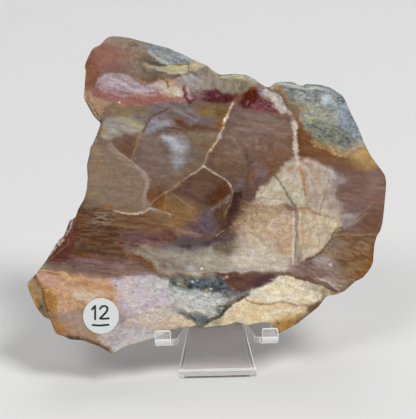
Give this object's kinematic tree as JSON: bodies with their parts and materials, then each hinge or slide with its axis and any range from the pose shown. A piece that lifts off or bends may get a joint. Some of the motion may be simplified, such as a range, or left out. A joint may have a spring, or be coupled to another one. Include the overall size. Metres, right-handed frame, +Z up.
{
  "type": "petrified wood slice on an easel stand",
  "caption": "Polished slice of petrified wood with a rough natural rim and a round paper label, leaning on a clear bent-sheet easel stand.",
  "frame": {"origin": "on the table, at the middle of the foot's flat underside", "axes": "+Z up, -Y towards the viewer of the polished face, +X to that viewer's right"},
  "size_m": [0.1923, 0.0785, 0.179],
  "materials": {
    "petrified_wood": "sawn and polished face with a satin gloss, rough matt rim",
    "clear_acrylic": "clear, polished faces and bright cut edges",
    "label_paper": "smooth matt paper"
  },
  "bodies": {
    "root": {"petrified_wood_slab": "petrified_wood", "acrylic_easel_stand": "clear_acrylic", "round_paper_label": "label_paper"}
  },
  "joints": []
}
